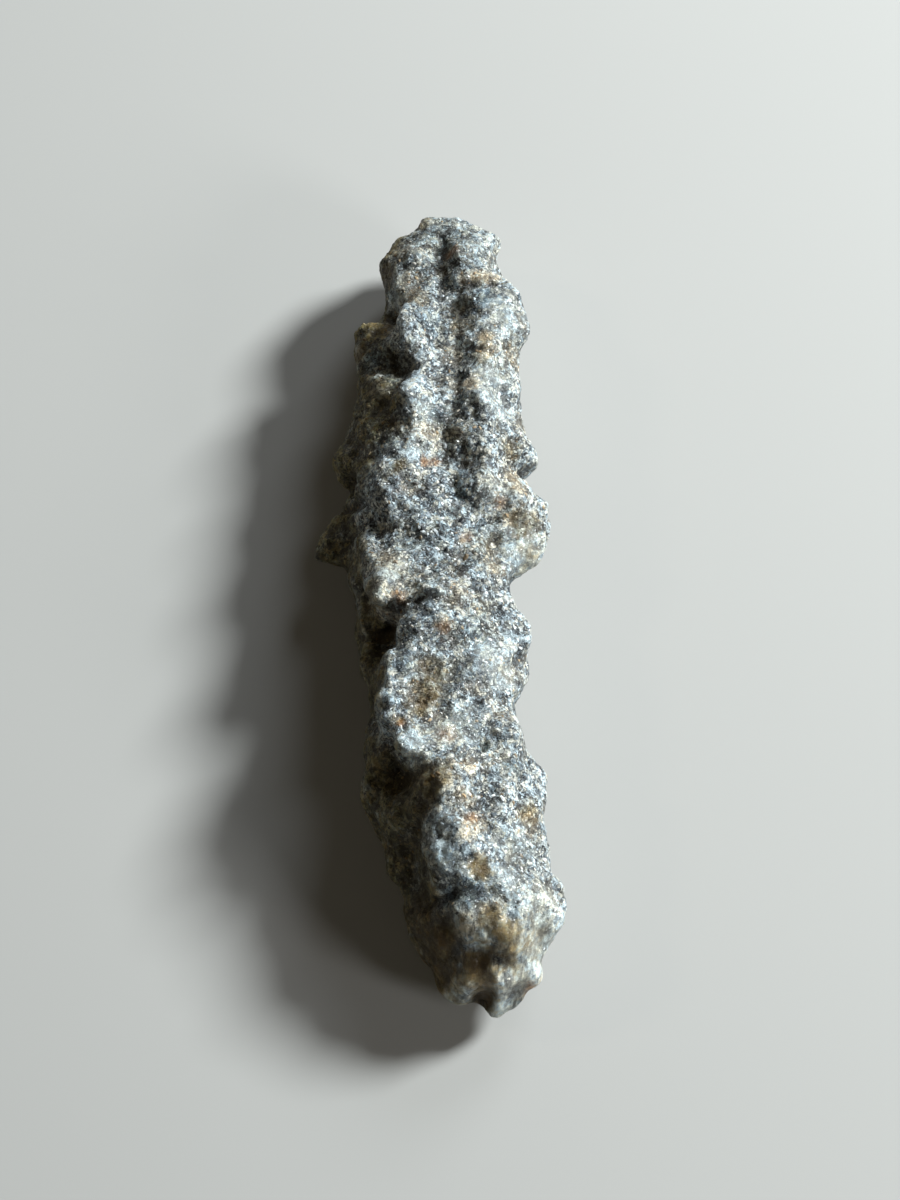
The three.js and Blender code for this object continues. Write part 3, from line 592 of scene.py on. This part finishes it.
def read_surface(skin):
    """Works out, for every vertex, how hollow it is, what staining it has, where painted shade and light
    lie, and how smoothly it ran.
    """
    broad = hollowness(skin, **BROAD_HOLLOWS)
    fine = hollowness(skin, **FINE_HOLLOWS)
    facts = dict(hollow=broad, crevice=fine, soil_and_painted_shade=[], melt=[], grit=[])
    for name in PATCHES:
        facts[name] = []
    for vertex, deep in zip(skin.data.vertices, broad):
        place = vertex.co
        x, y = place.x / MM, place.y / MM
        up = clamp(1.4 * vertex.normal.z + 0.8)
        ragged = 1.0 + 0.5 * noise.noise(place / BROAD_RAGS) + 0.4 * noise.noise(place / FINE_RAGS)
        for name, spots in PATCHES.items():
            facts[name].append(up * patch_cover(x, y, ragged, spots))
        drift = noise.noise(place / DRIFT_SIZE + Vector((7.0, 0.0, 0.0)))
        facts["brown"][-1] = max(facts["brown"][-1], clamp(1.0 * deep + 0.8 * drift - 0.25) * 0.7)
        facts["tan"][-1] = max(facts["tan"][-1], clamp(0.5 * deep - 1.1 * drift - 0.25) * 0.6)
        facts["grit"].append(up * patch_cover(x, y, ragged, GRIT))
        # The soil fact carries the painted shade of the left flank as well as soil.
        facts["soil_and_painted_shade"].append(soil_and_painted_shade_cover(place, vertex.normal) * (1.0 - 0.85 * facts["slate_and_painted_shade"][-1]))
        facts["melt"].append(melted(place, vertex.normal) * (1.0 - 0.9 * facts["grit"][-1]))
    write_facts(skin.data, facts)


# ---------------------------------------------------------------- the grains


def grain_shapes():
    """A few chipped grains of radius 1, each a ball of twenty faces pulled out of shape."""
    shelf = bpy.data.collections.new("grain_shapes")
    bpy.context.scene.collection.children.link(shelf)
    for number in range(GRAIN_SHAPES):
        bpy.ops.mesh.primitive_ico_sphere_add(subdivisions=1, radius=1.0)
        grain = bpy.context.object
        grain.name = f"grain_shape_{number}"
        grain.data.uv_layers[0].name = "OFBake"
        bpy.ops.object.mode_set(mode="EDIT")
        bpy.ops.transform.resize(value=(1.0, 0.82 - 0.03 * number, 1.10 - 0.05 * number))
        bpy.ops.transform.vertex_random(offset=0.16, uniform=0.6, normal=0.2, seed=number + 1)
        bpy.ops.object.mode_set(mode="OBJECT")
        for home in list(grain.users_collection):
            home.objects.unlink(grain)
        shelf.objects.link(grain)
    return shelf


def sow(skin):
    """Points all over the skin, one a grain, each with the skin's facts and its outward direction."""
    tree, start, end = geometry_tree("sow")
    scatter = lay(
        tree,
        "GeometryNodeDistributePointsOnFaces",
        {
            "Mesh": start.outputs[0],
            "Distance Min": GRAIN_GAP,
            "Density Max": 3.0 / GRAIN_GAP**2,
            "Seed": SOWING_SEED,
        },
        distribute_method="POISSON",
    )
    keep = lay(
        tree,
        "GeometryNodeStoreNamedAttribute",
        {"Geometry": scatter.outputs["Points"], "Name": "outward", "Value": scatter.outputs["Normal"]},
        data_type="FLOAT_VECTOR",
        domain="POINT",
    )
    dots = lay(tree, "GeometryNodePointsToVertices", {"Points": keep.outputs[0]})
    tree.links.new(dots.outputs[0], end.inputs[0])
    points = twin(skin, "sown")
    grow(points, tree)
    return points


def grain_share(here, base, adds, least, most):
    """How common one kind of grain is at a place with the given facts."""
    share = base
    for name, weight in adds.items():
        share += weight * here[name]
    return clamp(share, least, most)


def choose_kinds(points):
    """Gives each point a kind of grain, a shade and a size, or leaves it bare, which kind -1 says."""
    draw = random.Random(CHOOSING_SEED)
    mesh = points.data
    facts = {name: [0.0] * len(mesh.vertices) for name in PLACE_FACTS}
    for name in PLACE_FACTS:
        mesh.attributes[name].data.foreach_get("value", facts[name])
    kinds, shades, sizes, cells = [], [], [], []
    counts = [0] * len(GRAIN_KINDS)
    for index, vertex in enumerate(mesh.vertices):
        here = {name: facts[name][index] for name in PLACE_FACTS}
        cluster = noise.noise(vertex.co / CLUSTER_SIZE + Vector((0.0, 5.0, 0.0)))
        bare = BARE + 0.60 * here["melt"] - 0.5 * cluster + 0.3 * here["brown"] - 0.45 * here["grit"]
        shares = [grain_share(here, *GRAIN_SHARES[name]) for name in GRAIN_KINDS]
        pick = draw.random() * sum(shares)
        kind = 0
        while kind < len(shares) - 1 and pick > shares[kind]:
            pick -= shares[kind]
            kind += 1
        if draw.random() < bare:
            kind = -1
        kinds.append(kind)
        shades.append(draw.random())
        sizes.append(GRAIN_SIZE * (0.55 + (0.80 + 0.60 * here["grit"]) * draw.random() ** 2.0))
        cells.append(counts[kind] if kind >= 0 else 0)
        if kind >= 0:
            counts[kind] += 1
    mesh.attributes.new("kind", "INT", "POINT").data.foreach_set("value", kinds)
    mesh.attributes.new("cell", "INT", "POINT").data.foreach_set("value", cells)
    write_facts(mesh, dict(shade=shades, size=sizes))


def fact(tree, name, data_type="FLOAT"):
    """The value of a named attribute, inside a geometry node tree."""
    node = lay(tree, "GeometryNodeInputNamedAttribute", {"Name": name}, data_type=data_type)
    return node.outputs["Attribute"]


def chance(tree, low, high, seed):
    """A random number for each point, inside a geometry node tree."""
    node = lay(tree, "FunctionNodeRandomValue", {2: low, 3: high, "Seed": seed}, data_type="FLOAT")
    return node.outputs[1]


def grain_turn(tree, outward, kind):
    """How each grain lies: its flat side along the skin, spun and a little tilted."""
    level = lay(tree, "FunctionNodeAlignRotationToVector", {"Vector": outward}, axis="Z")
    spin = chance(tree, 0.0, math.tau, SPIN_SEED + kind)
    tilt = chance(tree, -GRAIN_TILT, GRAIN_TILT, TILT_SEED + kind)
    about = lay(tree, "ShaderNodeCombineXYZ", {0: tilt, 2: spin})
    spun = lay(tree, "FunctionNodeEulerToRotation", {0: about.outputs[0]})
    turn = lay(
        tree,
        "FunctionNodeRotateRotation",
        {"Rotation": level.outputs[0], "Rotate By": spun.outputs[0]},
        rotation_space="LOCAL",
    )
    return turn.outputs[0]


def lay_out_map(tree, geometry):
    """Gives each grain a place of its own in the grains' texture map."""
    cell = fact(tree, "cell", "INT")
    row = maths(tree, "FLOOR", maths(tree, "DIVIDE", cell, float(MAP_SIDE)))
    column = maths(tree, "MODULO", cell, float(MAP_SIDE))
    corner = lay(tree, "ShaderNodeCombineXYZ", {0: column, 1: row}).outputs[0]
    inside = 1.0 - 2.0 * MAP_MARGIN
    chart = fact(tree, "OFBake", "FLOAT_VECTOR")
    inner = vector_maths(tree, "MULTIPLY_ADD", chart, (inside, inside, 0.0), (MAP_MARGIN, MAP_MARGIN, 0.0))
    spot = scaled(tree, vector_maths(tree, "ADD", corner, inner), 1.0 / MAP_SIDE)
    mapped = lay(
        tree,
        "GeometryNodeStoreNamedAttribute",
        {"Geometry": geometry, "Name": "OFBake", "Value": spot},
        data_type="FLOAT2",
        domain="CORNER",
    )
    return mapped.outputs[0]


def plant(points, name, kind, shelf):
    """Turns the points of one kind into grains, sunk into the skin, as one mesh."""
    tree, start, end = geometry_tree(f"plant_{name}")
    pair = {2: fact(tree, "kind", "INT"), 3: kind}
    same = lay(tree, "FunctionNodeCompare", pair, data_type="INT", operation="EQUAL").outputs[0]
    mine = lay(tree, "GeometryNodeSeparateGeometry", {"Geometry": start.outputs[0], "Selection": same})
    size = fact(tree, "size")
    outward = fact(tree, "outward", "FLOAT_VECTOR")
    sink = scaled(tree, outward, maths(tree, "MULTIPLY", size, -GRAIN_SUNK))
    sunk = lay(tree, "GeometryNodeSetPosition", {"Geometry": mine.outputs[0], "Offset": sink})
    choices = lay(
        tree,
        "GeometryNodeCollectionInfo",
        {"Collection": shelf, "Separate Children": True, "Reset Children": True},
    )
    length = maths(tree, "MULTIPLY", size, chance(tree, *GRAIN_LENGTHS, LENGTH_SEED + kind))
    height = maths(tree, "MULTIPLY", size, GRAIN_FLATNESS)
    numbers = {4: 0, 5: GRAIN_SHAPES - 1, "Seed": SHAPE_SEED + kind}
    shape = lay(tree, "FunctionNodeRandomValue", numbers, data_type="INT")
    grains = lay(
        tree,
        "GeometryNodeInstanceOnPoints",
        {
            "Points": sunk.outputs[0],
            "Instance": choices.outputs[0],
            "Pick Instance": True,
            "Instance Index": shape.outputs[2],
            "Rotation": grain_turn(tree, outward, kind),
            "Scale": lay(tree, "ShaderNodeCombineXYZ", {0: length, 1: size, 2: height}).outputs[0],
        },
    )
    real = lay(tree, "GeometryNodeRealizeInstances", {"Geometry": grains.outputs[0]})
    kept = keep_above_floor(tree, real.outputs[0])
    tree.links.new(lay_out_map(tree, kept), end.inputs[0])
    planted = twin(points, name)
    grow(planted, tree)
    return planted


# ---------------------------------------------------------------- the materials


def mix(tree, share, low, high, blend="MIX"):
    """A blend of two colours."""
    node = lay(tree, "ShaderNodeMix", data_type="RGBA", blend_type=blend)
    for socket, value in ((0, share), (6, low), (7, high)):
        if isinstance(value, bpy.types.NodeSocket):
            tree.links.new(value, node.inputs[socket])
        else:
            node.inputs[socket].default_value = (*value, 1.0) if socket else value
    return node.outputs[2]


def spread(tree, value, low, high):
    """Stretches a value so that low becomes 0 and high becomes 1, with soft ends."""
    inputs = {"Value": value, "From Min": low, "From Max": high}
    return lay(tree, "ShaderNodeMapRange", inputs, interpolation_type="SMOOTHSTEP").outputs[0]


def place_of(tree):
    """The place on the stone that a material is colouring."""
    return lay(tree, "ShaderNodeTexCoord").outputs["Object"]


def surface_fact(tree, name):
    """The value of a named attribute, inside a material."""
    return lay(tree, "ShaderNodeAttribute", attribute_name=name).outputs["Fac"]


def clouds(tree, where, size, detail, distortion=0.0):
    """Noise with lumps of a given size."""
    inputs = {"Vector": where, "Scale": 1.0 / size, "Detail": detail, "Distortion": distortion}
    return lay(tree, "ShaderNodeTexNoise", inputs)


def drowned_cells(tree, where, size):
    """Cells of a given size, and three random numbers for each cell."""
    pattern = lay(tree, "ShaderNodeTexVoronoi", {"Vector": where, "Scale": 1.0 / size})
    return pattern, lay(tree, "ShaderNodeSeparateColor", {0: pattern.outputs["Color"]}).outputs


def stain_and_shade_group():
    """Shared by all the sand: lays the patches and the soil, with their painted light and shade, over a
    colour, speckled at their edges.
    """
    tree = bpy.data.node_groups.new("sand_stains_and_shade", "ShaderNodeTree")
    tree.interface.new_socket("Color", in_out="INPUT", socket_type="NodeSocketColor")
    tree.interface.new_socket("Strength", in_out="INPUT", socket_type="NodeSocketFloat")
    tree.interface.new_socket("Color", in_out="OUTPUT", socket_type="NodeSocketColor")
    start, end = tree.nodes.new("NodeGroupInput"), tree.nodes.new("NodeGroupOutput")
    speckle = clouds(tree, place_of(tree), SPECKLE_SIZE, 2.0).outputs[0]
    speckled = maths(tree, "MULTIPLY_ADD", speckle, 1.4, 0.3)
    broken = maths(tree, "MULTIPLY", speckled, start.outputs["Strength"])
    colour = start.outputs["Color"]
    for name, look in PATCH_LOOKS.items():
        share = maths(tree, "MINIMUM", maths(tree, "MULTIPLY", surface_fact(tree, name), broken), 1.0)
        colour = mix(tree, share, colour, look["tint"], "MULTIPLY")
        colour = mix(tree, maths(tree, "MULTIPLY", share, look["most"]), colour, look["flat"])
    tree.links.new(colour, end.inputs["Color"])
    return tree


def shade_ramp(tree, level):
    """The colour of a drowned grain, from its level."""
    ramp = lay(tree, "ShaderNodeValToRGB", {0: level})
    stops = ramp.color_ramp.elements
    for stop, (position, colour) in zip(stops, (GLASS_SHADES[0], GLASS_SHADES[-1])):
        stop.position, stop.color = position, (*colour, 1.0)
    for position, colour in GLASS_SHADES[1:-1]:
        stops.new(position).color = (*colour, 1.0)
    return ramp.outputs[0]


def glass_group():
    """Grains drowned in glass: their colour with painted shade and light, their height for a bump, and a
    number from 0 to 1 for each.
    """
    tree = bpy.data.node_groups.new("drowned_grains", "ShaderNodeTree")
    for name, kind in (("Color", "Color"), ("Height", "Float"), ("Each", "Float")):
        tree.interface.new_socket(name, in_out="OUTPUT", socket_type=f"NodeSocket{kind}")
    end = tree.nodes.new("NodeGroupOutput")
    where = place_of(tree)
    hollow, crevice, melt, grit, soil_and_painted_shade = (
        surface_fact(tree, name) for name in ("hollow", "crevice", "melt", "grit", "soil_and_painted_shade")
    )

    # Grains of three sizes, in rows that the flow of the glass has bent
    swirl = clouds(tree, where, BEND_SIZE, 2.0).outputs["Color"]
    shift = vector_maths(tree, "SUBTRACT", swirl, (0.5, 0.5, 0.5))
    bent = vector_maths(tree, "MULTIPLY_ADD", shift, (BEND_REACH, BEND_REACH, BEND_REACH), where)
    _, coarse = drowned_cells(tree, bent, COARSE_CELL)
    small_cells, small = drowned_cells(tree, bent, SMALL_CELL)
    _, dust = drowned_cells(tree, bent, DUST_CELL)
    clumps = clouds(tree, where, CLUMP_SIZE, 4.0).outputs[0]
    dusty = maths(tree, "MULTIPLY", dust[0], DUST_WEIGHT)
    specks = maths(tree, "MULTIPLY_ADD", small[0], SMALL_WEIGHT, dusty)
    mixed = maths(tree, "MULTIPLY_ADD", coarse[0], COARSE_WEIGHT, specks)
    sharp = maths(tree, "MULTIPLY_ADD", grit, GRIT_CONTRAST, SAND_CONTRAST)
    grainy = maths(tree, "MULTIPLY_ADD", maths(tree, "SUBTRACT", mixed, MEAN_CELLS), sharp, MEAN_LEVEL)

    # Where the glass ran, the grains blur into streaks along the stick.
    drawn = vector_maths(tree, "MULTIPLY", where, STREAK_SQUEEZE)
    streaks = clouds(tree, drawn, STREAK_SIZE, 3.0, 0.5).outputs[0]
    flowing = maths(tree, "MULTIPLY_ADD", maths(tree, "SUBTRACT", streaks, 0.5), STREAK_CONTRAST, 0.5)
    ran = maths(tree, "MULTIPLY", melt, MELT_BLUR)
    blur = lay(tree, "ShaderNodeMix", {0: ran, 2: grainy, 3: flowing}).outputs[0]
    level = maths(tree, "MULTIPLY_ADD", maths(tree, "SUBTRACT", clumps, 0.5), CLUMP_CONTRAST, blur)

    # Painted shade: hollows are darker than ridges, and most of all where the glass ran or soil clings.
    covered = maths(tree, "MAXIMUM", melt, soil_and_painted_shade)
    depth = maths(tree, "MULTIPLY_ADD", covered, COVERED_HOLLOW_PAINTED_SHADE, HOLLOW_PAINTED_SHADE)
    level = maths(tree, "MULTIPLY_ADD", hollow, depth, level)
    level = maths(tree, "MULTIPLY_ADD", crevice, CREVICE_PAINTED_SHADE, level)
    warmth = spread(tree, coarse[1], 0.25, 0.75)
    colour = mix(tree, 1.0, shade_ramp(tree, level), mix(tree, warmth, COOL_TINT, WARM_TINT), "MULTIPLY")

    # Painted highlights: fine pale threads between the grains, which also rise a little in the bump.
    thread = clouds(tree, where, THREAD_SIZE, 2.0, 1.8).outputs[0]
    off = maths(tree, "ABSOLUTE", maths(tree, "SUBTRACT", thread, 0.5))
    line = maths(tree, "SUBTRACT", 1.0, spread(tree, off, 0.0, THREAD_WIDTH))
    colour = mix(tree, maths(tree, "MULTIPLY", line, THREAD_HIGHLIGHT_STRENGTH), colour, THREAD_HIGHLIGHT_COLOUR)

    # Clouded glass lies over everything as a thin haze, thicker and paler on the ridges as painted light.
    haze_and_ridge_light = spread(tree, maths(tree, "MULTIPLY_ADD", hollow, -0.25, clumps), 0.48, 0.80)
    colour = mix(tree, maths(tree, "MULTIPLY", haze_and_ridge_light, HAZE_AND_RIDGE_LIGHT_STRENGTH), colour, HAZE_AND_RIDGE_LIGHT_COLOUR)
    tree.links.new(colour, end.inputs["Color"])

    # Each small grain is a facet that leans its own way.
    reach = vector_maths(tree, "SUBTRACT", bent, small_cells.outputs["Position"])
    lean = vector_maths(tree, "SUBTRACT", small_cells.outputs["Color"], (0.5, 0.5, 0.5))
    facet = lay(tree, "ShaderNodeVectorMath", {0: reach, 1: lean}, operation="DOT_PRODUCT").outputs["Value"]
    gentle = maths(tree, "MULTIPLY", facet, maths(tree, "MULTIPLY_ADD", melt, -0.75, 1.0))
    tree.links.new(maths(tree, "MULTIPLY_ADD", line, THREAD_RISE, gentle), end.inputs["Height"])
    tree.links.new(coarse[2], end.inputs["Each"])
    return tree


def new_material(name):
    """An empty material, its node tree and its Principled BSDF."""
    material = bpy.data.materials.new(name)
    material.use_nodes = True
    return material, material.node_tree, material.node_tree.nodes["Principled BSDF"]


def fused_sand(stains_and_shade, glass):
    """The glassy mass: grains drowned in cloudy glass, stained and painted with shade in its hollows, dull
    where soil and painted shade cover it.
    """
    material, tree, shader = new_material("fused_sand")
    drowned = lay(tree, "ShaderNodeGroup", node_tree=glass)
    stained_and_shaded = lay(tree, "ShaderNodeGroup", {"Strength": 1.0}, node_tree=stains_and_shade)
    tree.links.new(drowned.outputs["Color"], stained_and_shaded.inputs["Color"])
    tree.links.new(stained_and_shaded.outputs[0], shader.inputs["Base Color"])
    rough = maths(tree, "MULTIPLY_ADD", drowned.outputs["Each"], GLASS_ROUGHNESS_SPREAD, GLASS_ROUGHNESS)
    dull = maths(tree, "MULTIPLY_ADD", surface_fact(tree, "soil_and_painted_shade"), SOIL_DULLNESS, rough)
    tree.links.new(dull, shader.inputs["Roughness"])
    relief = {"Height": drowned.outputs["Height"], "Strength": 1.0, "Distance": 1.0}
    tree.links.new(lay(tree, "ShaderNodeBump", relief).outputs[0], shader.inputs["Normal"])
    shader.inputs["IOR"].default_value = GLASS_IOR
    return material


def grain_finish(name, pale, dark, rough, stains_and_shade):
    """One kind of grain: each has its own shade, a little cloudiness inside and its share of the stain,
    painted shade and light.
    """
    material, tree, shader = new_material(name)
    shade = surface_fact(tree, "shade")
    cloud = clouds(tree, place_of(tree), CLOUD_SIZE, 1.0).outputs[0]
    blend = maths(tree, "ADD", shade, maths(tree, "MULTIPLY_ADD", cloud, 1.0, -0.5))
    stained_and_shaded = lay(tree, "ShaderNodeGroup", {"Strength": GRAIN_STAIN_AND_SHADE}, node_tree=stains_and_shade)
    tree.links.new(mix(tree, blend, dark, pale), stained_and_shaded.inputs["Color"])
    tree.links.new(stained_and_shaded.outputs[0], shader.inputs["Base Color"])
    polish = maths(tree, "MULTIPLY_ADD", shade, GRAIN_ROUGHNESS_SPREAD, rough)
    dull = maths(tree, "MULTIPLY_ADD", surface_fact(tree, "soil_and_painted_shade"), SOIL_DULLNESS, polish)
    tree.links.new(dull, shader.inputs["Roughness"])
    shader.inputs["IOR"].default_value = QUARTZ_IOR
    return material


# ---------------------------------------------------------------- the studio


def add_floor():
    """A plain pale floor."""
    bpy.ops.mesh.primitive_plane_add(size=FLOOR_SIDE, location=(0.0, 0.0, 0.0))
    floor = bpy.context.object
    floor.name = "floor"
    paper, _, shader = new_material("pale_paper")
    shader.inputs["Base Color"].default_value = FLOOR_COLOUR
    shader.inputs["Roughness"].default_value = 0.9
    floor.data.materials.append(paper)


def add_sky():
    """A faint warm light from all round."""
    world = bpy.data.worlds.new("studio")
    bpy.context.scene.world = world
    world.use_nodes = True
    sky = world.node_tree.nodes["Background"]
    sky.inputs["Color"].default_value = SKY_COLOUR
    sky.inputs["Strength"].default_value = SKY_STRENGTH


def add_lamp(name, toward, distance, size, power, colour):
    """A round soft lamp that shines at the middle of the floor."""
    lamp = bpy.data.lights.new(name, "AREA")
    lamp.shape = "DISK"
    lamp.size = size
    lamp.energy = power
    lamp.color = colour
    holder = bpy.data.objects.new(name, lamp)
    bpy.context.scene.collection.objects.link(holder)
    away = Vector(toward).normalized()
    holder.location = away * distance
    holder.rotation_euler = (-away).to_track_quat("-Z", "Y").to_euler()


def add_camera():
    """The camera, above the near end and looking down along the stick."""
    back = Vector((0.0, -math.cos(CAMERA_ELEVATION), math.sin(CAMERA_ELEVATION)))
    lens = bpy.data.cameras.new("camera")
    lens.lens = CAMERA_LENS
    lens.sensor_width = CAMERA_SENSOR
    lens.clip_start, lens.clip_end = 0.01, 10.0
    camera = bpy.data.objects.new("camera", lens)
    bpy.context.scene.collection.objects.link(camera)
    camera.location = CAMERA_TARGET + back * CAMERA_DISTANCE
    camera.rotation_euler = (-back).to_track_quat("-Z", "Y").to_euler()
    bpy.context.scene.camera = camera
    bpy.context.scene.view_settings.view_transform = "Standard"


# ---------------------------------------------------------------- putting it together

bpy.ops.object.select_all(action="DESELECT")
add_floor()
add_sky()
for name, settings in LAMPS.items():
    add_lamp(name, **settings)
add_camera()

mass = even_skin()
carve(mass)
add_relief(mass)
press_level(mass)
read_surface(mass)

shelf = grain_shapes()
sown = sow(mass)
choose_kinds(sown)
stains_and_shade = stain_and_shade_group()

pieces = [mass]
mass.data.materials.clear()
mass.data.materials.append(fused_sand(stains_and_shade, glass_group()))
only(mass)
bpy.ops.object.shade_smooth()
for number, (name, look) in enumerate(GRAIN_KINDS.items()):
    grains = plant(sown, name, number, shelf)
    grains.data.materials.clear()
    grains.data.materials.append(grain_finish(name, stains_and_shade=stains_and_shade, **look))
    pieces.append(grains)

bpy.data.objects.remove(sown)
for shape in list(shelf.objects):
    bpy.data.objects.remove(shape)
bpy.data.collections.remove(shelf)

for piece in pieces:
    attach(piece, "root")
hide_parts("fulgurite")
